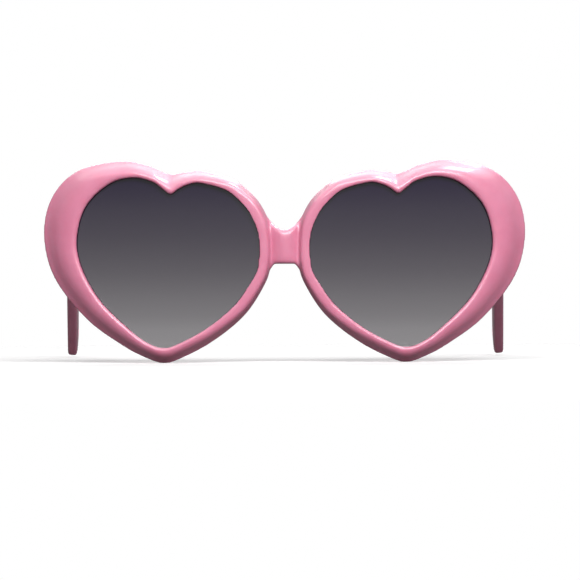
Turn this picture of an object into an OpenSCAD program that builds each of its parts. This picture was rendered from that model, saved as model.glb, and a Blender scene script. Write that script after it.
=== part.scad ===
// Heart shaped sunglasses: an acetate front with two heart lenses, and two
// acetate temples that fold on three-knuckle metal hinges.
// +Z is up as worn, the front looks along -Y, and +X is the wearer's left.
// The origin is the nose seat: the middle of the underside of the bridge,
// at the back of the front.

/* [Front] */
// Width of one heart rim, from the bridge to its temple side
rim_w = 71; // [60:0.5:80]
// Height of one heart rim
rim_h = 62.8; // [54:0.1:70]
// Width of the bridge between the two rims
bridge_w = 8; // [6:0.5:14]
// Height of the bridge at its middle
bridge_h = 10.6; // [8:0.2:14]
// Height of the underside of the bridge over the rims' lowest point
bridge_rise = 30.6; // [26:0.1:33]
// Thickness of the front at the crest of the rims
front_t = 5.6; // [5:0.1:7]
// How far the middle of the bridge lies behind the crest of the rims
bridge_sunk = 0.4; // [0.2:0.1:1.2]
// How far the bridge's face falls back from its middle to the rims
bridge_bulge = 1.4; // [1:0.1:2.4]
// How far the front's ends curve back behind its middle
front_sag = 8; // [5:0.5:11]

/* [Lenses] */
// Width of the lens opening
lens_w = 56.6; // [50:0.1:60]
// Height of the lens opening
lens_h = 52.8; // [46:0.1:56]
// Rim left between the lens opening and the bridge
nose_wall = 3.8; // [3:0.1:5]
// Rim left under the lens opening
bottom_wall = 4.8; // [3.5:0.1:6]
// Thickness of a lens
lens_t = 2; // [1.6:0.1:2.4]
// Depth of the groove that holds a lens
groove_d = 0.9; // [0.6:0.1:1.2]
// Distance from the front's back to the groove
groove_back = 1.2; // [0.9:0.1:1.4]

/* [Nose pads] */
// How far a nose pad stands out behind the front
pad_d = 4.2; // [3:0.1:6]

/* [Hinges] */
// Distance from an end of the front in to a hinge's axis
hinge_inset = 6.7; // [6:0.1:9]
// Height of the hinges over the underside of the bridge
hinge_z = 9; // [7:0.1:11]
// Distance from a hinge's axis forward to the middle of the front's back
hinge_y = 13; // [12:0.1:15]
// How far a hinge leans in at its top, in degrees
hinge_lean = 4.5; // [2:0.1:6]
// How far the open temples drop towards the ears, in degrees
temple_drop = 6.4; // [3:0.1:8]
// Outer radius of a knuckle
knuckle_r = 1.3; // [1.2:0.05:1.6]
// Length of each of the front's two knuckles
front_knuckle_l = 1.6; // [1.2:0.1:2]
// Length of the temple's knuckle
temple_knuckle_l = 2.2; // [1.8:0.1:3]
// Thickness of a hinge plate
plate_t = 0.8; // [0.6:0.1:1]
// Length of the plate let into the front
front_plate_l = 6.4; // [5:0.1:7]
// Length of the plate let into a temple
temple_plate_l = 9; // [7:0.5:12]
// Radius of the screw's shank
screw_r = 0.7; // [0.5:0.05:0.8]
// Radius of the screw's head
screw_head_r = 1.15; // [1:0.05:1.3]
// Height of the screw's head
screw_head_h = 0.5; // [0.4:0.05:0.8]
// Radius of the pegs that anchor the plates
peg_r = 0.9; // [0.7:0.05:1.1]
// Length of the pegs
peg_l = 1.5; // [1:0.1:2]
// Where a peg stands, as a share of its plate's length
peg_share = 0.67; // [0.6:0.01:0.75]

/* [Temples] */
// Thickness of a temple at its hinge
temple_t = 4.2; // [3.8:0.1:5]
// Thickness of a temple at its tip
tip_t = 3.4; // [3.2:0.1:4]
// Height of a temple at its hinge
temple_h = 11.8; // [10:0.1:14]
// Height of a temple where its ear bend starts
neck_h = 8.2; // [7:0.1:10]
// Height of the paddle at a temple's tip
paddle_h = 9; // [8:0.1:11]
// How far the middle of a temple's straight length is raised
blade_lift = 0.9; // [0:0.1:1.5]
// Straight length of a temple, from its hinge to the ear bend
blade_l = 97; // [90:1:105]
// Radius of the ear bend
bend_r = 29; // [20:1:40]
// Angle of the ear bend, in degrees
bend_angle = 28.5; // [20:0.5:40]
// Length of a temple after the ear bend
tail_l = 34; // [28:1:40]
// Radius of the steel core wire
core_r = 0.7; // [0.5:0.05:0.9]
// Width of the heart inlay
inlay_w = 4.2; // [3:0.1:5]
// Height of the heart inlay
inlay_h = 3.7; // [3:0.1:5]
// Thickness of the heart inlay
inlay_t = 0.35; // [0.2:0.05:0.6]
// How deep the inlay's face lies in its recess
inlay_sunk = 0.25; // [0.1:0.05:0.5]

/* [Folding] */
// How far the left temple is folded, in degrees
left_fold = 0; // [0:0.5:91.5]
// How far the right temple is folded over the left one, in degrees
right_fold = 0; // [0:0.5:87]

/* [Hidden] */

PINK = "#e08cab";
SMOKE = [0.29, 0.27, 0.31, 0.75];
STEEL = "#c9cbd0";
MAUVE = "#8c5f70";

// Gap between a lens and its groove
lens_gap = 0.1;
// Gap between pieces that are glued or let in
seat_gap = 0.05;
// Gap round the screw in the knuckles
pin_gap = 0.05;
// Gap between two knuckles, end to end
knuckle_gap = 0.1;
// Half of the gap between a temple's end and the front, when it is open
butt_gap = 0.15;
// Gap round the knuckles in the acetate
relief_gap = 0.15;
// How far a cut runs past what it cuts
overrun = 1;
// How far one solid runs into another that it is part of
bite = 0.4;

// How square the corners of a bar are: 1 makes it an ellipse
corner_power = 0.42;

// Stretches of an outline between two of its named points
outline_steps = 3;
round_fn = 48;

// The rim's outline, from its top notch towards the bridge: each point is a
// share of the rim's width, from the bridge, and of its height, from below
rim_shares = [
    [0.437, 0.932], [0.405, 0.938], [0.368, 0.945], [0.304, 0.949],
    [0.179, 0.914], [0.111, 0.861], [0.053, 0.791], [0.014, 0.698], [0.002, 0.587],
    [0.005, 0.482], [0.031, 0.387], [0.120, 0.235], [0.264, 0.103],
    [0.411, 0.017], [0.481, 0.000], [0.556, 0.028], [0.649, 0.083],
    [0.812, 0.218], [0.955, 0.426], [1.000, 0.640], [0.962, 0.828],
    [0.844, 0.957], [0.656, 1.000], [0.535, 0.976], [0.478, 0.948]];
// The lens opening's outline, point for point beside the rim's, in shares
// of the opening's own width and height
lens_shares = [
    [0.486, 0.897], [0.443, 0.926], [0.391, 0.952], [0.324, 0.962],
    [0.185, 0.922], [0.110, 0.859], [0.052, 0.784], [0.014, 0.688], [0.002, 0.602],
    [0.006, 0.509], [0.027, 0.422], [0.133, 0.256], [0.281, 0.121],
    [0.443, 0.026], [0.527, 0.000], [0.612, 0.029], [0.712, 0.108],
    [0.874, 0.281], [0.979, 0.490], [0.997, 0.664], [0.943, 0.839],
    [0.816, 0.962], [0.692, 0.996], [0.585, 0.971], [0.533, 0.932]];
// The rim's rounded face, from the lens opening out: a share of the rim's
// width there, and a share of its thickness from the back
face_shares = [[0, 0.76], [0.03, 0.89], [0.08, 0.97], [0.16, 1], [0.28, 0.985],
    [0.40, 0.93], [0.52, 0.83], [0.64, 0.68], [0.76, 0.48], [0.87, 0.30],
    [0.95, 0.20], [1, 0.14], [0.99, 0]];
// Beside the bridge the face stays flat nearly to the rim's outer edge: how
// far out from the bridge, as a share of the rim's width, and how strongly
flat_reach_share = 0.35;
flat_power = 3;
// Where a nose pad starts and ends, as shares of the way round the outline
pad_first_share = 0.36;
pad_last_share = 0.453;
// The pad's sides, as shares of the rim's width, from the lens opening
pad_in_share = 0.1;
pad_out_share = 0.96;
// The pad's depth at its two ends, as a share of its full depth
pad_end_share = 0.2;
// A heart, from its notch round: shares of its width and height
heart_shares = [[0, 0.78], [0.10, 0.93], [0.26, 1], [0.42, 0.93], [0.5, 0.74],
    [0.43, 0.50], [0.22, 0.22], [0, 0]];
// Where the heart lies: shares of the tail's length and the paddle's height
heart_along_share = 0.86;
heart_over_share = 0.14;
// How far the core wire goes into the tail, as a share of its length
core_share = 0.62;
// How deep the core wire lies in the temple, as a share of its thickness
core_depth_share = 0.45;
// How far from the hinge the temple keeps its full height, as a share
full_height_share = 0.4;

half_w = bridge_w / 2 + rim_w;
hinge_x = half_w - hinge_inset;
axis_l = 2 * front_knuckle_l + temple_knuckle_l + 2 * knuckle_gap;
// Distance from a hinge's axis out to the temple's inner face
inner_face = knuckle_r - seat_gap - plate_t / 2;
plate_in = inner_face - plate_t / 2;

// A point on a smooth curve through four points, between the middle two
function smooth(a, b, c, d, t) =
    (2 * b + (c - a) * t + (2 * a - 5 * b + 4 * c - d) * t * t
        + (3 * b - a - 3 * c + d) * t * t * t) / 2;
function closed_curve(points, steps) = let (n = len(points))
    [for (i = [0 : n - 1], k = [0 : steps - 1])
        smooth(points[(i + n - 1) % n], points[i], points[(i + 1) % n],
            points[(i + 2) % n], k / steps)];

// Pushes a sine or cosine out, from an ellipse towards a box
function squared(a) = sign(a) * pow(abs(a), corner_power);

// How far back the front lies at a distance x from its middle
function sag(x) = front_sag * pow(x / half_w, 2);

rim_line = [for (p = closed_curve(rim_shares, outline_steps))
    [bridge_w / 2 + p[0] * rim_w, p[1] * rim_h - bridge_rise]];
lens_line = [for (p = closed_curve(lens_shares, outline_steps))
    [bridge_w / 2 + nose_wall + p[0] * lens_w,
        bottom_wall + p[1] * lens_h - bridge_rise]];

// A point that lies a distance out from the lens opening, at one stretch of
// the outline, and a distance forward of the front's back
function rim_point(i, out, forward) =
    let (a = lens_line[i], o = rim_line[i], p = a + (o - a) * out / norm(o - a))
    [p[0], sag(p[0]) - forward, p[1]];

function rim_section(i) = let (w = norm(rim_line[i] - lens_line[i]),
        from_bridge = (rim_line[i][0] - bridge_w / 2) / rim_w,
        power = 1 + flat_power * pow(max(0, 1 - from_bridge / flat_reach_share), 2),
        groove_front = groove_back + lens_t + 2 * lens_gap)
    concat(
        [rim_point(i, 0, 0), rim_point(i, 0, groove_back),
            rim_point(i, groove_d, groove_back),
            rim_point(i, groove_d, groove_front)],
        [for (f = face_shares)
            rim_point(i, f[0] * w, (1 - pow(1 - f[1], power)) * front_t)]);

// Faces that join one ring of points to the next
function ring_faces(rings, size, closed) =
    [for (i = [0 : rings - (closed ? 1 : 2)], j = [0 : size - 1])
        let (a = i * size + j, b = i * size + (j + 1) % size,
            c = ((i + 1) % rings) * size + (j + 1) % size,
            d = ((i + 1) % rings) * size + j)
        each [[a, b, c], [a, c, d]]];

// A solid through rings of points that closes on itself
module loop_solid(rings) {
    size = len(rings[0]);
    polyhedron([for (r = rings) each r], ring_faces(len(rings), size, true));
}

// A solid through rings of points, with a flat face at each end
module swept_solid(rings) {
    size = len(rings[0]);
    last = (len(rings) - 1) * size;
    polyhedron([for (r = rings) each r], concat(
        ring_faces(len(rings), size, false),
        [[for (j = [size - 1 : -1 : 0]) j]],
        [[for (j = [0 : size - 1]) last + j]]));
}

// Right-hand pieces are the left-hand ones mirrored
module on_side(side) {
    if (side > 0) children();
    else mirror([1, 0, 0]) children();
}

// A hinge's own frame: z is its axis, y runs back along the open temple,
// and x points outwards
module at_hinge() {
    translate([hinge_x, hinge_y, hinge_z]) rotate([-temple_drop, 0, 0])
        rotate([0, -hinge_lean, 0]) children();
}

module at_temple(side) {
    on_side(side) at_hinge()
        rotate([0, 0, side > 0 ? left_fold : right_fold]) children();
}

module rim() {
    loop_solid([for (i = [len(rim_line) - 1 : -1 : 0]) rim_section(i)]);
}

// The bridge: its top is a smooth saddle, its foot is flat and then runs down
// into the rims, and its face bulges in the middle
bridge_rings = 12;
bridge_sides = 28;
// How far the bridge runs into a rim, as a share of the wall by the nose
bridge_root_share = 0.67;
// How far its top climbs and its foot drops at the roots, as shares of its
// height, and how far out the foot is flat, as a share of the way to a root
bridge_top_share = 0.58;
bridge_foot_share = 0.44;
bridge_flat_share = 0.5;
// Its least thickness, inside the rims, as a share of the front's thickness
bridge_thin_share = 0.62;
function bridge_ring(k) =
    let (u = 2 * k / bridge_rings - 1,
        x = u * (bridge_w / 2 + nose_wall * bridge_root_share),
        t = max(front_t - bridge_sunk - bridge_bulge * pow(2 * x / bridge_w, 2),
            front_t * bridge_thin_share),
        top = bridge_h * (1 + bridge_top_share * u * u),
        drop = max(0, abs(u) - bridge_flat_share) / (1 - bridge_flat_share),
        foot = -bridge_h * bridge_foot_share * drop)
    [for (j = [0 : bridge_sides - 1]) let (a = 360 * j / bridge_sides)
        [x, sag(x) - t / 2 - squared(cos(a)) * t / 2,
            (top + foot + squared(sin(a)) * (top - foot)) / 2]];
module bridge() {
    swept_solid([for (k = [0 : bridge_rings]) bridge_ring(k)]);
}

// The end piece: the block behind a rim's temple side that carries the hinge
end_sides = 20;
// How much taller it is where it runs into the rim, as a share of its height
end_flare_share = 0.17;
// How far it reaches forward on the hinge's axis, and how fast the back of
// the rim falls away from there towards the outside
end_reach = hinge_y - sag(hinge_x) + bite;
back_slope = (sag(hinge_x + inner_face + temple_t) - sag(hinge_x))
    / (inner_face + temple_t);
// A ring of it, at a share of the way from the hinge to the rim
function end_ring(share) = [for (j = [0 : end_sides - 1])
    let (a = 360 * j / end_sides,
        x = inner_face + temple_t / 2 + squared(cos(a)) * temple_t / 2,
        z = squared(sin(a)) * temple_h / 2 * (1 + end_flare_share * share),
        front = x * back_slope - z * tan(temple_drop) - end_reach)
    [x, share * front - (1 - share) * butt_gap, z]];
module end_piece() {
    swept_solid([for (share = [1, 1 / 2, 0]) end_ring(share)]);
}

module hinge_relief() {
    translate([0, 0, -axis_l / 2 - relief_gap])
        cylinder(r = knuckle_r + relief_gap,
            h = axis_l + screw_head_h + 2 * relief_gap, $fn = round_fn);
}

module front_plate_room() {
    translate([plate_in - overrun, -front_plate_l - seat_gap, -axis_l / 2 - seat_gap])
        cube([plate_t + overrun + seat_gap, front_plate_l + overrun,
            axis_l + 2 * seat_gap]);
    front_peg(seat_gap);
}

module front_peg(gap) {
    translate([plate_in + plate_t, -front_plate_l * peg_share, 0]) rotate([0, 90, 0])
        cylinder(r = peg_r + gap, h = peg_l + gap, $fn = round_fn);
}

module front_frame() color(PINK) {
    difference() {
        union() {
            bridge();
            for (side = [1, -1]) on_side(side) {
                rim();
                at_hinge() end_piece();
            }
        }
        for (side = [1, -1]) on_side(side) at_hinge() {
            hinge_relief();
            front_plate_room();
        }
    }
}

// The lens, in rings from its edge to its middle
lens_ring_shares = [1, 0.8, 0.5, 0.2];
lens_middle = [bridge_w / 2 + nose_wall + lens_w / 2,
    bottom_wall + lens_h / 2 - bridge_rise];
function lens_side(share, forward) = [for (i = [0 : len(lens_line) - 1])
    let (e = rim_point(i, groove_d - lens_gap, 0),
        p = lens_middle + ([e[0], e[2]] - lens_middle) * share)
    [p[0], sag(p[0]) - forward, p[1]]];
module lens() {
    back = groove_back + lens_gap;
    swept_solid(concat(
        [for (s = [len(lens_ring_shares) - 1 : -1 : 0])
            lens_side(lens_ring_shares[s], back + lens_t)],
        [for (s = lens_ring_shares) lens_side(s, back)]));
}
module left_lens() color(SMOKE) lens();
module right_lens() color(SMOKE) on_side(-1) lens();

// The nose pad: a rounded wedge glued to the back of the rim by the nose
pad_sides = 9;
function pad_ring(i, depth) =
    let (w = norm(rim_line[i] - lens_line[i]),
        middle = (pad_in_share + pad_out_share) / 2 * w,
        half = (pad_out_share - pad_in_share) / 2 * w)
    [for (j = [0 : pad_sides - 1]) let (a = 180 * j / (pad_sides - 1))
        rim_point(i, middle + half * cos(a), -seat_gap - depth * sin(a))];
module nose_pad() {
    first = round(pad_first_share * len(rim_line));
    last = round(pad_last_share * len(rim_line));
    swept_solid([for (i = [last : -1 : first])
        pad_ring(i, pad_d * (pad_end_share + (1 - pad_end_share)
            * sin(180 * (i - first) / (last - first))))]);
}
module left_nose_pad() color(PINK) nose_pad();
module right_nose_pad() color(PINK) on_side(-1) nose_pad();

// The hinge half that is fixed to the front: two knuckles, a plate and a peg
module knuckle(z, l) {
    translate([0, 0, z]) cylinder(r = knuckle_r, h = l, $fn = round_fn);
}
module screw_hole(gap) {
    translate([0, 0, -axis_l / 2 - overrun])
        cylinder(r = screw_r + gap, h = axis_l + 2 * overrun, $fn = round_fn);
}
module front_hinge() at_hinge() {
    difference() {
        union() {
            knuckle(-axis_l / 2, front_knuckle_l);
            knuckle(axis_l / 2 - front_knuckle_l, front_knuckle_l);
            translate([plate_in, -front_plate_l, -axis_l / 2])
                cube([plate_t, front_plate_l, axis_l]);
            front_peg(0);
        }
        screw_hole(pin_gap);
        translate([-knuckle_r - overrun, -knuckle_r - relief_gap,
                -temple_knuckle_l / 2 - knuckle_gap])
            cube([2 * (knuckle_r + overrun), 2 * (knuckle_r + relief_gap),
                temple_knuckle_l + 2 * knuckle_gap]);
    }
}
module left_front_hinge() color(STEEL) front_hinge();
module right_front_hinge() color(STEEL) on_side(-1) front_hinge();

// The hinge half that is fixed to the temple: one knuckle, a plate and a peg
module temple_peg(gap) {
    translate([plate_in + plate_t, temple_plate_l * peg_share, 0]) rotate([0, 90, 0])
        cylinder(r = peg_r + gap, h = peg_l + gap, $fn = round_fn);
}
module temple_plate() {
    start = knuckle_r + relief_gap;
    translate([plate_in, start, -axis_l / 2])
        cube([plate_t, temple_plate_l - start, axis_l]);
}
module temple_plate_room() {
    translate([plate_in - overrun, -overrun, -axis_l / 2 - seat_gap])
        cube([plate_t + overrun + seat_gap, temple_plate_l + overrun + seat_gap,
            axis_l + 2 * seat_gap]);
    temple_peg(seat_gap);
}
module temple_hinge() {
    difference() {
        union() {
            knuckle(-temple_knuckle_l / 2, temple_knuckle_l);
            translate([plate_in, 0, -temple_knuckle_l / 2])
                cube([plate_t, temple_plate_l / 2, temple_knuckle_l]);
            temple_plate();
            temple_peg(0);
        }
        screw_hole(pin_gap);
    }
}
module left_temple_hinge() color(STEEL) at_temple(1) temple_hinge();
module right_temple_hinge() color(STEEL) at_temple(-1) temple_hinge();

// The screw that pins the knuckles, with a slotted head
slot_w = 0.3;
slot_d = 0.25;
module hinge_screw() at_hinge() {
    difference() {
        union() {
            translate([0, 0, -axis_l / 2])
                cylinder(r = screw_r, h = axis_l, $fn = round_fn);
            translate([0, 0, axis_l / 2])
                cylinder(r = screw_head_r, h = screw_head_h, $fn = round_fn);
        }
        translate([-screw_head_r - overrun, -slot_w / 2,
                axis_l / 2 + screw_head_h - slot_d])
            cube([2 * (screw_head_r + overrun), slot_w, slot_d + overrun]);
    }
}
module left_hinge_screw() color(STEEL) hinge_screw();
module right_hinge_screw() color(STEEL) on_side(-1) hinge_screw();

// The temple's middle line: straight, then round the ear bend, then straight.
// A place along it is [y, z, slope in degrees].
bend_l = bend_r * bend_angle * PI / 180;
temple_l = blade_l + bend_l + tail_l;
function temple_place(s) =
    s <= blade_l ? [s, 0, 0]
    : let (turn = min(bend_angle, (s - blade_l) / bend_r * 180 / PI),
        past = max(0, s - blade_l - bend_l))
    [blade_l + bend_r * sin(turn) + past * cos(turn),
        -bend_r * (1 - cos(turn)) - past * sin(turn), turn];
function ease(t) = let (u = min(1, max(0, t))) u * u * (3 - 2 * u);
function temple_height(s) = let (full = full_height_share * blade_l)
    temple_h + (neck_h - temple_h) * ease((s - full) / (blade_l - full))
        + (paddle_h - neck_h) * ease((s - blade_l - bend_l) / tail_l);
function temple_lift(s) = blade_lift * pow(sin(180 * min(1, s / blade_l)), 2);
function temple_thickness(s) = temple_t + (tip_t - temple_t) * s / temple_l;

// The section is a rounded bar. Towards the tip its ends turn upright, so
// that the tip is cut square to the straight part of the temple.
temple_sides = 20;
function temple_ring(s, shrink) =
    let (p = temple_place(s), t = temple_thickness(s),
        turn = p[2] * (1 - ease((s - blade_l - bend_l) / tail_l)),
        half = temple_height(s) / 2 * shrink)
    [for (j = [0 : temple_sides - 1]) let (a = 360 * j / temple_sides,
            up = squared(sin(a)) * half + temple_lift(s))
        [inner_face + t / 2 + squared(cos(a)) * t / 2 * shrink,
            p[0] + up * sin(turn), p[1] + up * cos(turn)]];
blade_stops = 8;
bend_stops = 6;
tail_stops = 8;
tip_round = 1.2;
// How the tip rounds off: shares of that length, and of the full section
tip_shares = [[0.6, 0.93], [1, 0.78]];
module temple_bar() {
    swept_solid(concat(
        [for (k = [0 : blade_stops - 1])
            temple_ring(butt_gap + (blade_l - butt_gap) * k / blade_stops, 1)],
        [for (k = [0 : bend_stops - 1])
            temple_ring(blade_l + bend_l * k / bend_stops, 1)],
        [for (k = [0 : tail_stops])
            temple_ring(temple_l - tail_l + (tail_l - tip_round) * k / tail_stops, 1)],
        [for (e = tip_shares) temple_ring(temple_l - tip_round * (1 - e[0]), e[1])]));
}

module core_path(r, gap) {
    start = temple_plate_l + peg_r;
    wire_x = inner_face + temple_t * core_depth_share;
    translate([wire_x, start - gap, 0]) rotate([-90, 0, 0])
        cylinder(r = r, h = blade_l - start + gap, $fn = round_fn);
    translate([wire_x, blade_l, -bend_r]) rotate([0, -90, 0])
        rotate_extrude(angle = bend_angle, $fn = 4 * round_fn)
            translate([bend_r, 0]) circle(r = r, $fn = round_fn);
    end = temple_place(blade_l + bend_l);
    translate([wire_x, end[0], end[1]]) rotate([-90 - bend_angle, 0, 0])
        cylinder(r = r, h = tail_l * core_share + gap, $fn = round_fn);
}

heart_line = let (half = [for (p = heart_shares) [p[0] * inlay_w, p[1] * inlay_h]])
    concat(half, [for (i = [len(half) - 2 : -1 : 1]) [-half[i][0], half[i][1]]]);
heart_place = temple_place(blade_l + bend_l + tail_l * heart_along_share);
module heart_prism(depth, gap) {
    translate([inner_face + depth, heart_place[0],
            heart_place[1] + paddle_h * heart_over_share - inlay_h / 2])
        rotate([hinge_lean, 0, 0]) rotate([90, 0, -90])
            linear_extrude(depth + overrun) heart_shape(gap);
}
module heart_shape(gap) {
    grow = 1 + 2 * gap / inlay_w;
    translate([0, inlay_h / 2]) scale(grow) translate([0, -inlay_h / 2])
        polygon(closed_curve(heart_line, outline_steps));
}

module temple() {
    difference() {
        temple_bar();
        hinge_relief();
        temple_plate_room();
        core_path(core_r + seat_gap, seat_gap);
        heart_prism(inlay_sunk + inlay_t + seat_gap, seat_gap);
    }
}
module left_temple() color(PINK) at_temple(1) temple();
module right_temple() color(PINK) at_temple(-1) temple();

module left_core_wire() color(STEEL) at_temple(1) core_path(core_r, 0);
module right_core_wire() color(STEEL) at_temple(-1) core_path(core_r, 0);

module heart_inlay() {
    intersection() {
        heart_prism(inlay_sunk + inlay_t, 0);
        translate([inner_face + inlay_sunk, 0, -temple_l])
            cube([inlay_t + overrun, 2 * temple_l, 2 * temple_l]);
    }
}
module left_heart_inlay() color(MAUVE) at_temple(1) heart_inlay();
module right_heart_inlay() color(MAUVE) at_temple(-1) heart_inlay();

front_frame();
left_lens();
right_lens();
left_nose_pad();
right_nose_pad();
left_front_hinge();
right_front_hinge();
left_temple_hinge();
right_temple_hinge();
left_hinge_screw();
right_hinge_screw();
left_temple();
right_temple();
left_core_wire();
right_core_wire();
left_heart_inlay();
right_heart_inlay();
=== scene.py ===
# %% [markdown]
# # Heart shaped sunglasses in pink acetate
#
# The real object is a pair of acetate sunglasses: a thick heart rimmed front
# cut from sheet, two dip-graded smoke lenses sprung into grooves, and two
# acetate temples on small metal hinges. This script dresses the measured
# model of it. The scene is in metres, with +Z up as worn and the lenses
# facing -Y. The sizes below are in millimetres and are the same as the
# measured model's, so that every new piece lies where the solid that it
# stands for lies.

import math

import bmesh
import bpy
from mathutils import Matrix, Vector


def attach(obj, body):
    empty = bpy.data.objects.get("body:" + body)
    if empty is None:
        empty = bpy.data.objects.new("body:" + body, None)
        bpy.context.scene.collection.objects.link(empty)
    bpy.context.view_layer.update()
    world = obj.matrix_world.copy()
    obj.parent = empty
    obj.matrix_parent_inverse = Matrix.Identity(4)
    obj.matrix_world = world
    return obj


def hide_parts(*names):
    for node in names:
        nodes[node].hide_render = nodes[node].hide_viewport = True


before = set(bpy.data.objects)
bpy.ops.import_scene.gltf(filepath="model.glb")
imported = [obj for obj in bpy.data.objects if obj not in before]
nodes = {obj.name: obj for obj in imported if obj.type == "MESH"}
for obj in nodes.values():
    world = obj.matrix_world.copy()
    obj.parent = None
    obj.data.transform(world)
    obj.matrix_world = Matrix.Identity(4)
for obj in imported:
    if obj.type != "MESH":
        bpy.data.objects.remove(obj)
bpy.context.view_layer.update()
MM = 0.001

# %% [markdown]
# ## The outline
#
# A maker draws one rim and one lens opening on a template, mills them from
# acetate sheet, and mirrors them for the other side. The template here is a
# short list of points in shares of the rim's width and height. A smooth
# closed curve through them is better than many traced points: it has no
# bumps, and polished acetate shows every bump in its reflections.

# %% Sizes of the front
RIM_W, RIM_H, BRIDGE_W, BRIDGE_H = 71, 62.8, 8, 10.6
BRIDGE_RISE, FRONT_T, BRIDGE_SUNK, FRONT_SAG = 30.6, 5.6, 0.4, 8
LENS_W, LENS_H, NOSE_WALL, BOTTOM_WALL = 56.6, 52.8, 3.8, 4.8
LENS_T, GROOVE_D, GROOVE_BACK, LENS_GAP = 2, 0.9, 1.2, 0.1
HALF_W = BRIDGE_W / 2 + RIM_W
print("the front is", 2 * HALF_W, "mm wide")

# %% The template's points, in shares of a width and a height
RIM_SHARES = [
    (0.437, 0.932), (0.405, 0.938), (0.368, 0.945), (0.304, 0.949),
    (0.179, 0.914), (0.111, 0.861), (0.053, 0.791), (0.014, 0.698),
    (0.002, 0.587), (0.005, 0.482), (0.031, 0.387), (0.120, 0.235),
    (0.264, 0.103), (0.411, 0.017), (0.481, 0.000), (0.556, 0.028),
    (0.649, 0.083), (0.812, 0.218), (0.955, 0.426), (1.000, 0.640),
    (0.962, 0.828), (0.844, 0.957), (0.656, 1.000), (0.535, 0.976),
    (0.478, 0.948)]
LENS_SHARES = [
    (0.486, 0.897), (0.443, 0.926), (0.391, 0.952), (0.324, 0.962),
    (0.185, 0.922), (0.110, 0.859), (0.052, 0.784), (0.014, 0.688),
    (0.002, 0.602), (0.006, 0.509), (0.027, 0.422), (0.133, 0.256),
    (0.281, 0.121), (0.443, 0.026), (0.527, 0.000), (0.612, 0.029),
    (0.712, 0.108), (0.874, 0.281), (0.979, 0.490), (0.997, 0.664),
    (0.943, 0.839), (0.816, 0.962), (0.692, 0.996), (0.585, 0.971),
    (0.533, 0.932)]
print("points:", len(RIM_SHARES), "round the rim and the lens opening")

# %% Draw the two outlines
OUTLINE_STEPS = 9


def smooth_curve(points, steps, closed=True):
    """Points on a smooth curve that passes through the given ones."""
    count = len(points)
    made = []
    for i in range(count if closed else count - 1):
        near = [i - 1, i, i + 1, i + 2]
        near = [n % count if closed else min(max(n, 0), count - 1)
                for n in near]
        a, b, c, d = (Vector(points[n]) for n in near)
        for k in range(steps):
            t = k / steps
            made.append((2 * b + (c - a) * t
                         + (2 * a - 5 * b + 4 * c - d) * t * t
                         + (3 * b - a - 3 * c + d) * t ** 3) / 2)
    return made if closed else made + [Vector(points[-1])]


rim_line = [Vector((BRIDGE_W / 2 + p[0] * RIM_W, p[1] * RIM_H - BRIDGE_RISE))
            for p in smooth_curve(RIM_SHARES, OUTLINE_STEPS)]
lens_line = [Vector((BRIDGE_W / 2 + NOSE_WALL + p[0] * LENS_W,
                     BOTTOM_WALL + p[1] * LENS_H - BRIDGE_RISE))
             for p in smooth_curve(LENS_SHARES, OUTLINE_STEPS)]
print("outline:", len(rim_line), "stations")

# %% [markdown]
# ## Materials
#
# A real pair holds four of them: acetate, tinted lens sheet, bare metal and a
# dyed metal heart. Each could be a flat colour with one roughness, but then
# all would look like the same toy plastic. So each gets the pattern that its
# making leaves. One function turns the sRGB hex of a colour to the linear
# values that a shader wants, and one adds a node with its settings and links.

# %% Colour and node helpers


def linear(hex_colour):
    """The linear colour of an sRGB hex value."""
    parts = [int(hex_colour[i:i + 2], 16) / 255 for i in (1, 3, 5)]
    return tuple(c / 12.92 if c <= 0.04045 else ((c + 0.055) / 1.055) ** 2.4
                 for c in parts) + (1.0,)


def add_node(tree, kind, links=(), **values):
    """Adds a node. links are (input, other node, its output)."""
    made = tree.nodes.new(kind)
    for key, value in values.items():
        if key.startswith("in_"):
            name = key[3:].replace("_", " ")
            place = int(name) if name.isdigit() else name
            made.inputs[place].default_value = value
        else:
            setattr(made, key, value)
    for socket, other, output in links:
        tree.links.new(other.outputs[output], made.inputs[socket])
    return made


def new_material(name):
    """An empty material, its tree and its output."""
    material = bpy.data.materials.new(name)
    material.use_nodes = True
    tree = material.node_tree
    tree.nodes.clear()
    return material, tree, add_node(tree, "ShaderNodeOutputMaterial")


# %% [markdown]
# ### Tumbled cellulose acetate
#
# The sheet is opaque pink with a faint cloudiness from the mixing rolls,
# about 7 mm across. The chips in the polishing barrel leave a waviness about
# as wide as a chip, 1.6 mm, which breaks up the longest highlights. The
# barrel leaves two glosses, so one roughness would not do: a wide milky haze
# from the plastic itself, and over it a thin burnished skin, whose sharper
# highlights run along the shoulders and the lips by the lenses. A little
# light goes into the plastic and comes back redder, which keeps the shaded
# undersides warm.

# %% Pink acetate
CLOUD_SIZE, CHIP_SIZE, CHIP_DEPTH, LIGHT_REACH = 7, 1.6, 0.05, 1.2
pink_acetate, tree, out = new_material("tumbled_cellulose_acetate")
where = add_node(tree, "ShaderNodeTexCoord")
clouds = add_node(tree, "ShaderNodeTexNoise", [("Vector", where, "Object")],
                  in_Scale=1 / (CLOUD_SIZE * MM), in_Detail=3,
                  in_Roughness=0.55)
tint = add_node(tree, "ShaderNodeValToRGB", [("Fac", clouds, "Fac")])
tint.color_ramp.elements[0].position = 0.30
tint.color_ramp.elements[0].color = linear("#D27C98")
tint.color_ramp.elements[1].position = 0.72
tint.color_ramp.elements[1].color = linear("#D985A1")
peel = add_node(tree, "ShaderNodeTexNoise", [("Vector", where, "Object")],
                in_Scale=1 / (CHIP_SIZE * MM), in_Detail=1)
gloss = add_node(tree, "ShaderNodeMapRange", [("Value", clouds, "Fac")],
                 in_To_Min=0.36, in_To_Max=0.42)
bump = add_node(tree, "ShaderNodeBump", [("Height", peel, "Fac")],
                in_Strength=0.05, in_Distance=CHIP_DEPTH * MM)
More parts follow.
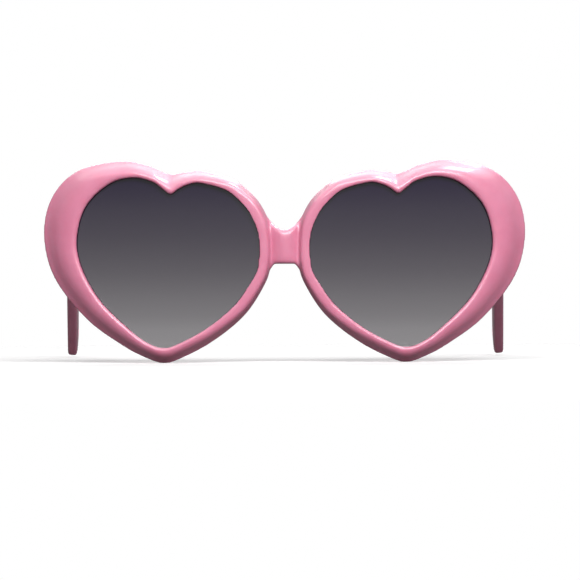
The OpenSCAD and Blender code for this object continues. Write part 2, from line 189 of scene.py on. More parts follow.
acetate = add_node(tree, "ShaderNodeBsdfPrincipled",
                   [("Base Color", tint, "Color"),
                    ("Roughness", gloss, "Result"),
                    ("Normal", bump, "Normal")],
                   in_IOR=1.48, in_Coat_Weight=0.5, in_Coat_Roughness=0.15,
                   in_Subsurface_Weight=0.3,
                   in_Subsurface_Radius=(1.0, 0.35, 0.45),
                   in_Subsurface_Scale=LIGHT_REACH * MM)
tree.links.new(acetate.outputs["BSDF"], out.inputs["Surface"])
print(pink_acetate.name, len(tree.nodes), "nodes")

# %% [markdown]
# ### Dip-graded smoke lens
#
# A clear lens is lowered into hot dye and drawn out slowly, so its top holds
# the most dye. The tint is bluish at the top and goes to a neutral grey at
# the bottom. The lens is a thin clear sheet that takes light away without
# bending what is behind it, so an alpha gradient along the height is truer
# here than a thick glass. Its polish is nearly a mirror's. A look through
# the lens crosses two faces, so each face takes only its part of the dye.

# %% Smoke lens
DYE_FOOT, DYE_TOP = -27, 28
FACE_DENSITY = ((0.12, 0.53), (0.20, 0.58), (0.30, 0.62), (0.45, 0.69),
                (0.65, 0.76), (0.80, 0.80))
smoke_lens, tree, out = new_material("dip_graded_smoke_lens")
where = add_node(tree, "ShaderNodeTexCoord")
axes = add_node(tree, "ShaderNodeSeparateXYZ", [("Vector", where, "Object")])
height = add_node(tree, "ShaderNodeMapRange", [("Value", axes, "Z")],
                  in_From_Min=DYE_FOOT * MM, in_From_Max=DYE_TOP * MM)
dye = add_node(tree, "ShaderNodeValToRGB", [("Fac", height, "Result")])
dye.color_ramp.elements[0].color = linear("#2C1E2A")
dye.color_ramp.elements[1].color = linear("#1E1530")
density = add_node(tree, "ShaderNodeValToRGB", [("Fac", height, "Result")])
ramp = density.color_ramp
ramp.elements[0].color = (0.50, 0.50, 0.50, 1)
ramp.elements[1].color = (0.88, 0.88, 0.88, 1)
for share, alpha in FACE_DENSITY:
    ramp.elements.new(share).color = (alpha, alpha, alpha, 1)
sheet = add_node(tree, "ShaderNodeBsdfPrincipled",
                 [("Base Color", dye, "Color"), ("Alpha", density, "Color")],
                 in_IOR=1.5, in_Roughness=0.04)
tree.links.new(sheet.outputs["BSDF"], out.inputs["Surface"])
print(smoke_lens.name, len(ramp.elements), "stops from foot to top")

# %% [markdown]
# ### Metals
#
# The hinges are nickel silver, satin from the barrel. The screws are bright
# steel, turned, and the core wires are drawn. The inlaid hearts are thin
# aluminium, matt anodised in mauve. A texture could show each mark, but the
# pieces are a few millimetres long, so one noise does for all. Its grain is
# in marks to the millimetre along X, Y and Z: 6 to 10 all ways for grit, and
# 12 or 14 across against 1 or 2 along for a drawn or turned lay. From the
# front a mark is finer than a pixel, so what shows is how it spreads the
# highlights, and that they run one way where there is a lay.

# %% Hinge, screw, wire and inlay metals
GLOSS_SPREAD = 0.07


def metal(name, colour, rough, grain, grain_depth):
    """A bare or dyed metal with a fine grain of its own size."""
    material, tree, out = new_material(name)
    where = add_node(tree, "ShaderNodeTexCoord")
    lay = add_node(tree, "ShaderNodeMapping", [("Vector", where, "Object")],
                   in_Scale=grain)
    marks = add_node(tree, "ShaderNodeTexNoise", [("Vector", lay, "Vector")],
                     in_Scale=1 / MM, in_Detail=4)
    shade = add_node(tree, "ShaderNodeMapRange", [("Value", marks, "Fac")],
                     in_To_Min=rough - GLOSS_SPREAD,
                     in_To_Max=rough + GLOSS_SPREAD)
    relief = add_node(tree, "ShaderNodeBump", [("Height", marks, "Fac")],
                      in_Strength=0.2, in_Distance=grain_depth * MM)
    body = add_node(tree, "ShaderNodeBsdfPrincipled",
                    [("Roughness", shade, "Result"),
                     ("Normal", relief, "Normal")],
                    in_Base_Color=linear(colour), in_Metallic=1.0)
    tree.links.new(body.outputs["BSDF"], out.inputs["Surface"])
    print(name, "roughness", rough)
    return material


nickel_silver = metal("barrelled_nickel_silver", "#C9C6BE",
                      rough=0.32, grain=(6, 6, 6), grain_depth=0.01)
bright_steel = metal("turned_stainless_steel", "#C8C9CC",
                     rough=0.22, grain=(2, 2, 14), grain_depth=0.008)
drawn_wire = metal("drawn_nickel_silver_wire", "#BFBBB2",
                   rough=0.30, grain=(12, 1, 12), grain_depth=0.01)
mauve_inlay = metal("mauve_anodised_aluminium", "#94657A",
                    rough=0.42, grain=(10, 10, 10), grain_depth=0.01)

# %% [markdown]
# ## The front
#
# On the real object the front is one piece of thick sheet: milled, heated and
# bent to its curve, then tumbled for days until every edge is round. The same
# order works here. Two rims, a bridge and two end pieces are skinned as
# overlapping bars, a voxel remesh melts them into one body, and a smooth
# modifier does the tumbling. A boolean union would leave sharp creases where
# the bridge meets the rims, and the real one has soft ones.
#
# ### The section of a rim
#
# A rim is a ring of acetate with a groove inside for the lens. A bevelled
# curve could make a plain ring, but this one swells at the temples and thins
# by the nose. So its section is a list of shares, stretched at each station
# between the two outlines. Beside the bridge the face stays flat nearly to
# the outer edge, and elsewhere it slopes away from a crest near the lens.

# %% The section of a rim
FACE_SHARES = [(0, 0.76), (0.03, 0.89), (0.08, 0.97), (0.16, 1),
               (0.28, 0.985), (0.40, 0.93), (0.52, 0.83), (0.64, 0.68),
               (0.76, 0.48), (0.87, 0.30), (0.95, 0.20), (1, 0.14),
               (0.99, 0)]
FACE_STEPS = 3
FLAT_REACH, FLAT_POWER = 0.35, 3


def sag(x):
    """How far back the curved front lies at a distance x from its middle."""
    return FRONT_SAG * (x / HALF_W) ** 2


def rim_point(i, away, forward):
    """A point some way out from the lens opening and forward of the back."""
    a, o = lens_line[i], rim_line[i]
    p = a + (o - a) * away / (o - a).length
    return (p.x, sag(p.x) - forward, p.y)


def rim_section(i):
    """The rim's rounded section at a station, with the lens's groove."""
    width = (rim_line[i] - lens_line[i]).length
    from_bridge = (rim_line[i].x - BRIDGE_W / 2) / RIM_W
    power = 1 + FLAT_POWER * max(0, 1 - from_bridge / FLAT_REACH) ** 2
    groove_front = GROOVE_BACK + LENS_T + 2 * LENS_GAP
    inside = [(0, 0), (0, GROOVE_BACK), (GROOVE_D, GROOVE_BACK),
              (GROOVE_D, groove_front)]
    face = [(max(0, f[0]) * width,
             (1 - max(0, 1 - f[1]) ** power) * FRONT_T)
            for f in smooth_curve(FACE_SHARES, FACE_STEPS, closed=False)]
    return [rim_point(i, away, forward) for away, forward in inside + face]


rim_rings = [rim_section(i) for i in range(len(rim_line))]
print("a rim's section has", len(rim_rings[0]), "points")

# %% [markdown]
# ### The bridge
#
# The bridge is a short bar between the rims, cut from the same sheet. Its top
# is a smooth saddle, its foot is flat and then runs down into the rims, and
# its face bulges in the middle. A scaled box with bevels would have a
# straight top, so it is drawn as rings too, whose corners are those of a
# rounded square.

# %% The bridge's rings
BRIDGE_RINGS, BRIDGE_SIDES, BRIDGE_ROOT = 12, 28, 0.67
BRIDGE_BULGE, BRIDGE_THIN = 1.4, 0.62
TOP_FLARE, FOOT_FLARE, FOOT_FLAT = 0.58, 0.44, 0.5
CORNER_POWER = 0.42


def squared(share):
    """Pushes a circle's sine or cosine out towards a rounded square."""
    return math.copysign(abs(share) ** CORNER_POWER, share)


def turns(sides):
    """The angles of the corners of a ring."""
    return [2 * math.pi * j / sides for j in range(sides)]


def bridge_ring(k):
    """One ring of the bridge, counted from the right rim to the left."""
    share = 2 * k / BRIDGE_RINGS - 1
    x = share * (BRIDGE_W / 2 + NOSE_WALL * BRIDGE_ROOT)
    t = max(FRONT_T - BRIDGE_SUNK - BRIDGE_BULGE * (2 * x / BRIDGE_W) ** 2,
            FRONT_T * BRIDGE_THIN)
    top = BRIDGE_H * (1 + TOP_FLARE * share ** 2)
    past_flat = max(0, abs(share) - FOOT_FLAT) / (1 - FOOT_FLAT)
    foot = -BRIDGE_H * FOOT_FLARE * past_flat
    middle, half = (top + foot) / 2, (top - foot) / 2
    return [(x, sag(x) - t / 2 - squared(math.cos(a)) * t / 2,
             middle + half * squared(math.sin(a)))
            for a in turns(BRIDGE_SIDES)]


bridge_rings = [bridge_ring(k) for k in range(BRIDGE_RINGS + 1)]
print("the bridge is drawn in", len(bridge_rings), "rings")

# %% [markdown]
# ### The end pieces
#
# Behind each rim's temple side stands a block that carries the hinge. The
# hinge leans and drops a little, and the block with it, so it is easiest to
# draw in the hinge's own frame and then to move to the front. Its first ring
# lies just inside the rim's back, which falls away from the hinge towards
# the outside, and no step shows there after the remesh.

# %% The end pieces' rings
INNER_FACE, TEMPLE_T, TEMPLE_H = 0.85, 4.2, 11.8
END_FLARE, END_SIDES, END_STOPS, BITE = 0.17, 20, (1, 0.5, 0), 0.4
HINGE_INSET, HINGE_Y, HINGE_Z = 6.7, 13, 9
HINGE = Vector((HALF_W - HINGE_INSET, HINGE_Y, HINGE_Z))
LEAN, DROP, BUTT_GAP = 4.5, 6.4, 0.15


def hinge_place():
    """Where the left hinge's own frame lies: z along its axis, y back along
    the open temple and x outwards."""
    return (Matrix.Translation(HINGE)
            @ Matrix.Rotation(math.radians(-DROP), 4, "X")
            @ Matrix.Rotation(math.radians(-LEAN), 4, "Y"))


def in_hinge_frame(rings):
    """Moves rings from the left hinge's frame to the whole part's frame."""
    return [[hinge_place() @ Vector(p) for p in ring] for ring in rings]


def end_ring(share):
    """One ring of the block, at a share of the way to the rim."""
    reach = HINGE.y - sag(HINGE.x) + BITE
    width = INNER_FACE + TEMPLE_T
    slope = (sag(HINGE.x + width) - sag(HINGE.x)) / width
    ring = []
    for a in turns(END_SIDES):
        x = INNER_FACE + TEMPLE_T / 2 + squared(math.cos(a)) * TEMPLE_T / 2
        z = squared(math.sin(a)) * TEMPLE_H / 2 * (1 + END_FLARE * share)
        front = x * slope - z * math.tan(math.radians(DROP)) - reach
        ring.append((x, share * front - (1 - share) * BUTT_GAP, z))
    return ring


end_rings = in_hinge_frame([end_ring(share) for share in END_STOPS])
print("the left hinge is at", [round(v, 1) for v in HINGE], "mm")

# %% [markdown]
# ### Skinning a solid through rings
#
# Rims, bridge, temples and pads are all bars whose section changes along a
# path. One ring of edges is drawn and then extruded from station to station,
# each new ring moved to its own places. Curves with a bevel profile could do
# a plain bar, but not one whose width, height and lean change at each
# station, so the extrusion is the better way.

# %% Skin the bars of the front
WELD = 1e-7


def skin(bm, rings, closed_path):
    """Extrudes one ring of edges through all the rings of points."""
    layers = bm.verts.layers.int
    place = layers.get("place") or layers.new("place")
    ring = [bm.verts.new(Vector(p) * MM) for p in rings[0]]
    for i, v in enumerate(ring):
        v[place] = i
    first = [bm.edges.new((ring[i - 1], ring[i])) for i in range(len(ring))]
    edges, start = first, ring
    for points in rings[1:] + ([rings[0]] if closed_path else []):
        made = bmesh.ops.extrude_edge_only(bm, edges=edges)["geom"]
        ring = [g for g in made if isinstance(g, bmesh.types.BMVert)]
        for v in ring:
            v.co = Vector(points[v[place]]) * MM
        new = set(ring)
        edges = [g for g in made if isinstance(g, bmesh.types.BMEdge)
                 and g.verts[0] in new and g.verts[1] in new]
    if closed_path:
        bmesh.ops.remove_doubles(bm, verts=start + ring, dist=WELD)
    else:
        bmesh.ops.contextual_create(bm, geom=first)
        bmesh.ops.contextual_create(bm, geom=edges)


def mirrored(rings):
    """The right-hand twin of left-hand rings."""
    return [[(-p[0], p[1], p[2]) for p in ring] for ring in rings]


def smooth_faces(mesh, sharp_angle=None):
    """Shades a mesh smooth, but for edges over an angle in degrees."""
    for polygon in mesh.polygons:
        polygon.use_smooth = True
    if sharp_angle:
        mesh.set_sharp_from_angle(angle=math.radians(sharp_angle))


def finish_mesh(name, bm, material, sharp_angle=None):
    """Turns a bmesh into a scene object with its normals pointing out."""
    bmesh.ops.recalc_face_normals(bm, faces=bm.faces)
    mesh = bpy.data.meshes.new(name)
    bm.to_mesh(mesh)
    bm.free()
    piece = bpy.data.objects.new(name, mesh)
    bpy.context.scene.collection.objects.link(piece)
    mesh.materials.append(material)
    smooth_faces(mesh, sharp_angle)
    return piece


bm = bmesh.new()
for rings, loop in ((rim_rings, True), (end_rings, False)):
    skin(bm, rings, loop)
    skin(bm, mirrored(rings), loop)
skin(bm, bridge_rings, False)
front = finish_mesh("acetate_front", bm, pink_acetate)
print("front bars:", len(front.data.polygons), "faces")

# %% [markdown]
# ### Melting and tumbling
#
# The real front has no joins, and its edges are round because it is tumbled.
# A bevel would need clean edges where the bars cross, and there are none. So
# the bars become voxels, whose skin is one closed surface, and the smoothing
# rounds it. The voxels are small enough to keep the lips by the lenses. The
# passes are enough to take away the voxels' steps, and few enough to leave
# the lips crisp.

# %% Melt the bars together and tumble them
VOXEL, TUMBLE_PULL, TUMBLE_PASSES = 0.38, 0.5, 7


def add_modifier(piece, kind, **settings):
    """Adds a modifier with its settings."""
    modifier = piece.modifiers.new(kind.title(), kind)
    for key, value in settings.items():
        setattr(modifier, key, value)


def apply_modifiers(piece, sharp_angle=None):
    """Keeps what the piece's modifiers make, and takes them off."""
    bpy.context.view_layer.update()
    seen = piece.evaluated_get(bpy.context.evaluated_depsgraph_get())
    mesh = bpy.data.meshes.new_from_object(seen)
    piece.modifiers.clear()
    old, piece.data = piece.data, mesh
    bpy.data.meshes.remove(old)
    smooth_faces(mesh, sharp_angle)


add_modifier(front, "REMESH", mode="VOXEL", voxel_size=VOXEL * MM,
             use_smooth_shade=True)
add_modifier(front, "SMOOTH", factor=TUMBLE_PULL, iterations=TUMBLE_PASSES)
apply_modifiers(front)
print("front after the remesh:", len(front.data.polygons), "faces")

# %% [markdown]
# ### Rooms for the hinges
#
# A router sinks a shallow pocket for each hinge plate, and a round relief for
# the knuckles. A box and a cylinder in one mesh do the same with a boolean.
# They cut after the smoothing, because the remesh is too coarse for edges
# that are this crisp.

# %% The cutter for a hinge room
KNUCKLE_R, KNUCKLE_L, PLATE_T, PLATE_IN = 1.3, 5.6, 0.8, 0.45
FRONT_PLATE_L, TEMPLE_PLATE_L, SCREW_HEAD_H = 6.4, 9, 0.5
SEAT_GAP, RELIEF_GAP, OVERRUN, ROUND_SIDES = 0.05, 0.15, 1, 48


def hinge_cutter(name, side, length, forward):
    """A box for the plate and a cylinder for the knuckles, in one mesh."""
    bm = bmesh.new()
    start, end = -OVERRUN, length + SEAT_GAP
    if forward:
        start, end = -end, -start
    size = Vector((PLATE_T + OVERRUN + SEAT_GAP, end - start,
                   KNUCKLE_L + 2 * SEAT_GAP))
    middle = Vector((PLATE_IN - OVERRUN + size.x / 2, (start + end) / 2, 0))
    bmesh.ops.create_cube(bm, size=MM,
                          matrix=Matrix.Translation(middle * MM)
                          @ Matrix.Diagonal((*size, 1)))
    tall = KNUCKLE_L + SCREW_HEAD_H + 2 * RELIEF_GAP
    up = Matrix.Translation((0, 0, SCREW_HEAD_H / 2 * MM))
    bmesh.ops.create_cone(bm, cap_ends=True, segments=ROUND_SIDES,
                          radius1=(KNUCKLE_R + RELIEF_GAP) * MM,
                          radius2=(KNUCKLE_R + RELIEF_GAP) * MM,
                          depth=tall * MM, matrix=up)
    place = (Matrix.Diagonal((MM, MM, MM, 1)) @ hinge_place()
             @ Matrix.Diagonal((1 / MM, 1 / MM, 1 / MM, 1)))
    bmesh.ops.transform(bm, matrix=place, verts=bm.verts)
    if side < 0:
        bmesh.ops.scale(bm, vec=(-1, 1, 1), verts=bm.verts)
    return finish_mesh(name, bm, pink_acetate)


# %% Cut the front's hinge rooms
CUT_ANGLE = 40


def cut_rooms(piece, cutters):
    """Cuts rooms out of a piece, as a mill does, and removes the cutters."""
    for cutter in cutters:
        add_modifier(piece, "BOOLEAN", operation="DIFFERENCE",
                     solver="MANIFOLD", object=cutter)
    apply_modifiers(piece, CUT_ANGLE)
    for cutter in cutters:
        bpy.data.objects.remove(cutter)


cut_rooms(front, [hinge_cutter(f"front_cutter_{side}", side, FRONT_PLATE_L,
                               True) for side in (1, -1)])
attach(front, "front")
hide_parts("front_frame")
print("front:", len(front.data.polygons), "faces")

# %% [markdown]
# ## The lenses
#
# A lens is a thin sheet, curved as the front is. It could be one face, filled
# between the edge's points and then given a wall, but that face would be
# flat. It is skinned in rings from its edge to its middle, front and back, so
# that both faces follow the curve, and its edge goes into the rim's groove.

# %% Skin the lenses
LENS_RINGS = [1, 0.92, 0.8, 0.64, 0.46, 0.28, 0.12]
EDGE_ANGLE = 50
lens_middle = Vector((BRIDGE_W / 2 + NOSE_WALL + LENS_W / 2,
                      BOTTOM_WALL + LENS_H / 2 - BRIDGE_RISE))


def lens_ring(share, forward):
    """One ring of a lens face, a share of the way out to its edge."""
    ring = []
    for i in range(len(lens_line)):
        edge = rim_point(i, GROOVE_D - LENS_GAP, 0)
        p = lens_middle + (Vector((edge[0], edge[2])) - lens_middle) * share
        ring.append((p.x, sag(p.x) - forward, p.y))
    return ring


back = GROOVE_BACK + LENS_GAP
lens_rings = ([lens_ring(s, back + LENS_T) for s in reversed(LENS_RINGS)]
              + [lens_ring(s, back) for s in LENS_RINGS])
for side, rings in (("left", lens_rings), ("right", mirrored(lens_rings))):
    bm = bmesh.new()
    skin(bm, rings, False)
    lens = finish_mesh(f"{side}_smoke_lens", bm, smoke_lens, EDGE_ANGLE)
    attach(lens, "front")
    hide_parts(f"{side}_lens")
    print(lens.name, len(lens.data.polygons), "faces")

# %% [markdown]
# ## The nose pads
#
# Each pad is a small wedge of the same acetate, glued to the back of the rim
# beside the nose and polished with it. A squashed ball would do from afar,
# but it would not follow the rim. So half an ellipse is set on the rim's back
# at each station beside the nose, low at both ends and full in the middle.

# %% Skin the nose pads
PAD_D, PAD_IN, PAD_OUT, PAD_END = 4.2, 0.1, 0.96, 0.2
PAD_FIRST, PAD_LAST, PAD_SIDES = 0.36, 0.453, 13


def pad_ring(i, depth):
    """One ring of a pad: half an ellipse standing on the rim's back."""
    width = (rim_line[i] - lens_line[i]).length
    middle = (PAD_IN + PAD_OUT) / 2 * width
    half = (PAD_OUT - PAD_IN) / 2 * width
    half_turn = [math.pi * j / (PAD_SIDES - 1) for j in range(PAD_SIDES)]
    return [rim_point(i, middle + half * math.cos(a),
                      -SEAT_GAP - depth * math.sin(a)) for a in half_turn]


first, last = (round(share * len(rim_line)) for share in (PAD_FIRST, PAD_LAST))
pad_rings = []
for i in range(first, last + 1):
    swell = math.sin(math.pi * (i - first) / (last - first))
    pad_rings.append(pad_ring(i, PAD_D * (PAD_END + (1 - PAD_END) * swell)))
for side, rings in (("left", pad_rings), ("right", mirrored(pad_rings))):
    bm = bmesh.new()
    skin(bm, rings, False)
    pad = finish_mesh(f"{side}_acetate_pad", bm, pink_acetate, EDGE_ANGLE)
    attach(pad, "front")
    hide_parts(f"{side}_nose_pad")
    print(pad.name, len(pad.data.polygons), "faces")

# %% [markdown]
# ## The temples
#
# A temple is a flat acetate bar round a metal core wire. It narrows towards
# the ear, bends down there, and ends in a paddle that is cut square. A box
# could be bent by a lattice or a curve modifier, but its section would lean
# with the bend, and the real paddle's end is cut upright. So the bar is
# skinned ring by ring along its middle line and then subdivided once.

# %% The temple's middle line
BLADE_L, BEND_R, BEND_ANGLE, TAIL_L = 97, 29, 28.5, 34
BEND_L = math.radians(BEND_ANGLE) * BEND_R
TEMPLE_L = BLADE_L + BEND_L + TAIL_L


def temple_place(s):
    """(y, z, slope) of the middle line at a distance s from the hinge."""
    if s <= BLADE_L:
        return s, 0.0, 0.0
    turn = min(math.radians(BEND_ANGLE), (s - BLADE_L) / BEND_R)
    past = max(0.0, s - BLADE_L - BEND_L)
    return (BLADE_L + BEND_R * math.sin(turn) + past * math.cos(turn),
            -BEND_R * (1 - math.cos(turn)) - past * math.sin(turn), turn)


print("temple:", round(TEMPLE_L, 1), "mm along its middle line")

# %% [markdown]
# The bar's section is a rounded rectangle. Its height falls from the hinge to
# the neck and grows again to the paddle, its thickness falls all the way, and
# the blade arches a little. Edge loops could be moved by hand instead, but
# one function gives a ring anywhere, and it follows the sizes.

# %% The temple's section
TIP_T, NECK_H, PADDLE_H, BLADE_LIFT = 3.4, 8.2, 9, 0.9
FULL_HEIGHT, TEMPLE_SIDES = 0.4, 28


def ease(t):
    """Goes smoothly from 0 to 1."""
    t = min(1, max(0, t))
    return t * t * (3 - 2 * t)


def temple_ring(s, shrink=1.0):
    """One ring of the temple in the hinge's frame."""
    y, z, slope = temple_place(s)
    t = TEMPLE_T + (TIP_T - TEMPLE_T) * s / TEMPLE_L
    full = FULL_HEIGHT * BLADE_L
    neck = ease((s - full) / (BLADE_L - full))
    tail = ease((s - BLADE_L - BEND_L) / TAIL_L)
    height = (TEMPLE_H + (NECK_H - TEMPLE_H) * neck
              + (PADDLE_H - NECK_H) * tail)
    lift = BLADE_LIFT * math.sin(math.pi * min(1, s / BLADE_L)) ** 2
    turn = slope * (1 - tail)
    ring = []
    for a in turns(TEMPLE_SIDES):
        up = squared(math.sin(a)) * height / 2 * shrink + lift
        ring.append((INNER_FACE + t / 2 + squared(math.cos(a)) * t / 2
                     * shrink,
                     y + up * math.sin(turn), z + up * math.cos(turn)))
    return ring


# %% [markdown]
# Both ends of the real bar are rounded by the barrel, the hinge end only a
# little. A few rings close together, each a little smaller than the next,
# draw that round. Evenly spaced rings would leave it flat or pinch it.

# %% Skin the temples
TIP_ROUND = 1.2
HINGE_END = ((0, 0.94), (0.1, 0.97), (0.3, 0.99), (0.7, 1), (1.6, 1))
TIP_END = ((0.35, 0.98), (0.7, 0.9), (1, 0.78))
BLADE_RINGS, BEND_RINGS, TAIL_RINGS = 16, 8, 14
stops = [BUTT_GAP + (BLADE_L - BUTT_GAP) * k / BLADE_RINGS
         for k in range(1, BLADE_RINGS)]
stops += [BLADE_L + BEND_L * k / BEND_RINGS for k in range(BEND_RINGS)]
stops += [BLADE_L + BEND_L + (TAIL_L - TIP_ROUND) * k / TAIL_RINGS
          for k in range(TAIL_RINGS + 1)]
temple_rings = [temple_ring(BUTT_GAP + past, shrink)
                for past, shrink in HINGE_END]
temple_rings += [temple_ring(s) for s in stops]
temple_rings += [temple_ring(TEMPLE_L - TIP_ROUND * (1 - share), shrink)
                 for share, shrink in TIP_END]
temple_rings = in_hinge_frame(temple_rings)
temples = {}
for side, rings in (("left", temple_rings), ("right", mirrored(temple_rings))):
    bm = bmesh.new()
    skin(bm, rings, False)
    temples[side] = finish_mesh(f"{side}_acetate_temple", bm, pink_acetate)
    add_modifier(temples[side], "SUBSURF", levels=1, render_levels=1)
    apply_modifiers(temples[side])
print("temple:", len(temples["left"].data.polygons), "faces")

# %% [markdown]
# ### The heart shaped recess
#
# Near the tip, the inner face has a shallow recess with a small metal heart
# in it. A painted heart would show no shadow at its edge. So an outline of
# half a heart is mirrored, made a smooth curve, and pushed into the face as
# a cutter that is larger than the metal by the gap round it.

# %% The cutter for a heart
INLAY_W, INLAY_H, INLAY_T, INLAY_SUNK = 4.2, 3.7, 0.35, 0.25
HEART_ALONG, HEART_OVER, HEART_STEPS = 0.86, 0.14, 4
HEART_HALF = [(0, 0.78), (0.10, 0.93), (0.26, 1), (0.42, 0.93), (0.5, 0.74),
              (0.43, 0.50), (0.22, 0.22), (0, 0)]
heart_y, heart_z, _ = temple_place(BLADE_L + BEND_L + TAIL_L * HEART_ALONG)


def heart_cutter(name, side):
    """A heart outline pushed into the temple's inner face."""
    half = [Vector((p[0] * INLAY_W, p[1] * INLAY_H)) for p in HEART_HALF]
    other_half = [Vector((-p.x, p.y)) for p in half[-2:0:-1]]
    line = smooth_curve(half + other_half, HEART_STEPS)
    grow = 1 + 2 * SEAT_GAP / INLAY_W
    lean = Matrix.Rotation(math.radians(LEAN), 4, "X")
    middle = Vector((0, heart_y,
                     heart_z + PADDLE_H * HEART_OVER - INLAY_H / 2))
    deep = INNER_FACE + INLAY_SUNK + INLAY_T + SEAT_GAP
    rings = []
    for x in (INNER_FACE - OVERRUN, deep):
        ring = []
        for p in line:
            flat = Vector((0, -p.x * grow,
                           INLAY_H / 2 + (p.y - INLAY_H / 2) * grow))
            spot = middle + lean @ flat
            ring.append((x, spot.y, spot.z))
        rings.append(ring)
    rings = in_hinge_frame(rings)
    bm = bmesh.new()
    skin(bm, rings if side > 0 else mirrored(rings), False)
    return finish_mesh(name, bm, pink_acetate)


print("heart:", round(heart_y, 1), "mm behind the hinge")

# %% [markdown]
# The temple's hinge room is cut as the front's was, from the face that lies
# by the head, and the heart's recess in the same face is cut with it.

# %% Cut the temples' hinge rooms and recesses
for name, side in (("left", 1), ("right", -1)):
    temple = temples[name]
    cut_rooms(temple, [
        hinge_cutter(f"{name}_cutter", side, TEMPLE_PLATE_L, False),
        heart_cutter(f"heart_cutter_{side}", side)])
    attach(temple, f"{name}_temple")
    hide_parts(f"{name}_temple")
    print(temple.name, len(temple.data.polygons), "faces")

# %% [markdown]
# ## Hinges, screws, core wires and inlays
#
# These small metal parts are fitted as they come from their makers. They
# could be modelled again with softer edges, but their measured solids have
# the right shape already, and they are so small that no edge's rounding
# shows. So they only get their metals.

# %% Give the small parts their metals
METALS = {"front_hinge": nickel_silver, "temple_hinge": nickel_silver,
          "hinge_screw": bright_steel, "core_wire": drawn_wire,
          "heart_inlay": mauve_inlay}
for name, node in nodes.items():
    for ending, material in METALS.items():
        if name.endswith(ending):
            node.data.materials.clear()
            node.data.materials.append(material)
print("metals on", sum(n.endswith(tuple(METALS)) for n in nodes), "nodes")

# %% [markdown]
# ## Floor and background
#
# The photograph was taken on a white table against white. The floor is a
# large white disc that fades into the white behind it, so there is no
# horizon. Seen by the camera it glows a little, which makes its lit parts
# white and still leaves the shadow under the rims. To all else it is a dull
# grey sheet, so that it throws little light up under the rims. A brighter
# lamp would whiten the table as well, but the pink with it.

# %% White floor
FLOOR_Z, FLOOR_R = -BRIDGE_RISE * MM, 0.7
FADE_FROM, FADE_TO = 0.25, 0.55
FLOOR_GLOW, FLOOR_GREY, FLOOR_WHITE = 0.28, 0.2, 0.9
white_floor, tree, out = new_material("white_table")
where = add_node(tree, "ShaderNodeTexCoord")
far = add_node(tree, "ShaderNodeVectorMath", [(0, where, "Object")],
               operation="LENGTH")
fade = add_node(tree, "ShaderNodeMapRange", [("Value", far, "Value")],
                in_From_Min=FADE_FROM, in_From_Max=FADE_TO,
                interpolation_type="SMOOTHSTEP")
path = add_node(tree, "ShaderNodeLightPath")
shade = add_node(tree, "ShaderNodeMapRange",
                 [("Value", path, "Is Camera Ray")],
                 in_To_Min=FLOOR_GREY, in_To_Max=FLOOR_WHITE)
paper = add_node(tree, "ShaderNodeBsdfDiffuse", [("Color", shade, "Result")])
strength = add_node(tree, "ShaderNodeMath", [(0, path, "Is Camera Ray")],
                    operation="MULTIPLY", in_1=FLOOR_GLOW)
glow = add_node(tree, "ShaderNodeEmission", [("Strength", strength, "Value")])
lit = add_node(tree, "ShaderNodeAddShader",
               [(0, paper, "BSDF"), (1, glow, "Emission")])
clear = add_node(tree, "ShaderNodeBsdfTransparent")
mixed = add_node(tree, "ShaderNodeMixShader",
                 [(0, fade, "Result"), (1, lit, "Shader"), (2, clear, "BSDF")])
tree.links.new(mixed.outputs["Shader"], out.inputs["Surface"])
bm = bmesh.new()
bmesh.ops.create_circle(bm, cap_ends=True, segments=64, radius=FLOOR_R)
bmesh.ops.translate(bm, vec=(0, 0, FLOOR_Z), verts=bm.verts)
floor = finish_mesh("white_floor", bm, white_floor)
print("floor at", round(FLOOR_Z / MM, 1), "mm")

# %% [markdown]
# The world is white where the camera sees it, straight or through a lens. A
# polished surface sees a studio instead: bright overhead and dimmer towards
# the horizon, which keeps the pink of the front's face clear of white. It
# adds only a little light of its own, so the lamps shape the rims.

# %% White background
CEILING_Z, HORIZON, CEILING, OWN_LIGHT = 0.35, 0.2, 0.7, 0.05
world = bpy.data.worlds.new("white_studio")
bpy.context.scene.world = world
world.use_nodes = True
tree = world.node_tree
tree.nodes.clear()
out = add_node(tree, "ShaderNodeOutputWorld")
where = add_node(tree, "ShaderNodeTexCoord")
axes = add_node(tree, "ShaderNodeSeparateXYZ",
                [("Vector", where, "Generated")])
ceiling = add_node(tree, "ShaderNodeMapRange", [("Value", axes, "Z")],
                   in_From_Min=0.0, in_From_Max=CEILING_Z,
                   in_To_Min=HORIZON, in_To_Max=CEILING)
path = add_node(tree, "ShaderNodeLightPath")
shine = add_node(tree, "ShaderNodeMath",
                 [(0, ceiling, "Result"), (1, path, "Is Glossy Ray")],
                 operation="MULTIPLY")
seen = add_node(tree, "ShaderNodeMath",
                [(0, path, "Is Camera Ray"), (1, path, "Is Transmission Ray")],
                operation="MAXIMUM")
seen = add_node(tree, "ShaderNodeMath",
                [(0, seen, "Value"), (1, shine, "Value")],
                operation="MAXIMUM")
level = add_node(tree, "ShaderNodeMath", [(0, seen, "Value")],
                 operation="MAXIMUM", in_1=OWN_LIGHT)
sky = add_node(tree, "ShaderNodeBackground", [("Strength", level, "Value")],
               in_Color=linear("#FFFFFF"))
tree.links.new(sky.outputs["Background"], out.inputs["Surface"])
print("world nodes:", len(tree.nodes))

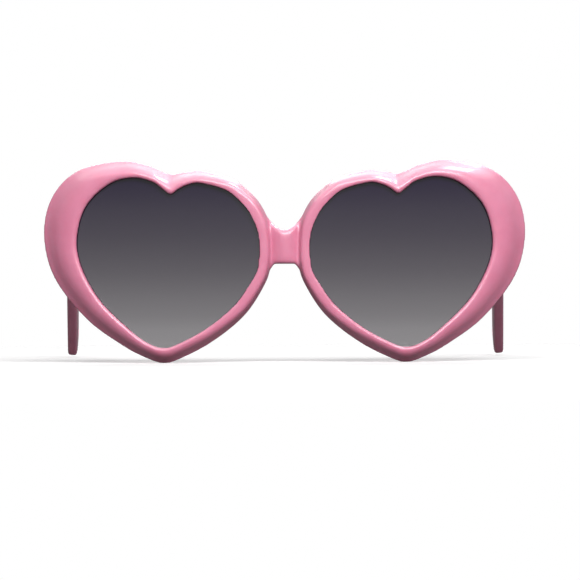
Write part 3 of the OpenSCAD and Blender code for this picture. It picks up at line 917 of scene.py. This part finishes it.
# %% [markdown]
# ## Light and camera
#
# A soft light stands in front of the table, high and a little to the right.
# It shows the roundness of the rims: their upper slopes stay light, their
# lower and left slopes turn dark. A weaker one behind lights the temples and
# the back of the front. A wide white card and a narrow bright one hang
# overhead. They only count in reflections, so they draw the milky tops and
# the sharp streaks on the shoulders without washing out the pink. One lamp
# overhead could do all of it, but it would leave the face of the front dull.

# %% Lights


def soft_light(name, place, size, power, only_gloss=False):
    """An area light at a place, turned towards the part's origin."""
    lamp = bpy.data.lights.new(name, "AREA")
    lamp.shape, lamp.energy = "RECTANGLE", power
    lamp.size, lamp.size_y = size
    light = bpy.data.objects.new(name, lamp)
    light.location = place
    aim = (-Vector(place)).to_track_quat("-Z", "Y")
    light.rotation_euler = aim.to_euler()
    light.visible_transmission = False
    light.visible_diffuse = not only_gloss
    bpy.context.scene.collection.objects.link(light)
    print(name, power, "W")


soft_light("front_light", place=(0.2, -1.35, 0.8), size=(1.2, 0.7), power=35)
soft_light("back_light", place=(0, 1.4, 0.9), size=(1.2, 0.7), power=14)
soft_light("overhead_card", place=(0, 0, 0.85), size=(1.8, 1.6), power=28,
           only_gloss=True)
soft_light("shoulder_strip", place=(0.35, 0.05, 0.8), size=(0.4, 0.2),
           power=6, only_gloss=True)

# %% [markdown]
# The camera looks straight at the front from far off with a long lens, as for
# a catalogue. From near by, the outer sides of the curved front would look
# smaller than they are. The camera is rolled a little, because the
# photograph's right side lies a little higher than its left.

# %% Camera
DISTANCE, SEEN_W, SENSOR_W, CLIP_END = 1.5, 179.8 * MM, 36, 20
CAMERA_X, CAMERA_Z, ROLL = 1.6, -8.1, 0.29
camera_data = bpy.data.cameras.new("catalogue_camera")
camera_data.sensor_width = SENSOR_W
camera_data.lens = SENSOR_W * DISTANCE / SEEN_W
camera_data.clip_end = CLIP_END
camera = bpy.data.objects.new("catalogue_camera", camera_data)
camera.location = (CAMERA_X * MM, -DISTANCE, CAMERA_Z * MM)
camera.rotation_euler = (math.pi / 2, math.radians(ROLL), 0)
bpy.context.scene.collection.objects.link(camera)
bpy.context.scene.camera = camera
bpy.context.scene.view_settings.view_transform = "Standard"
print("lens:", round(camera_data.lens), "mm")
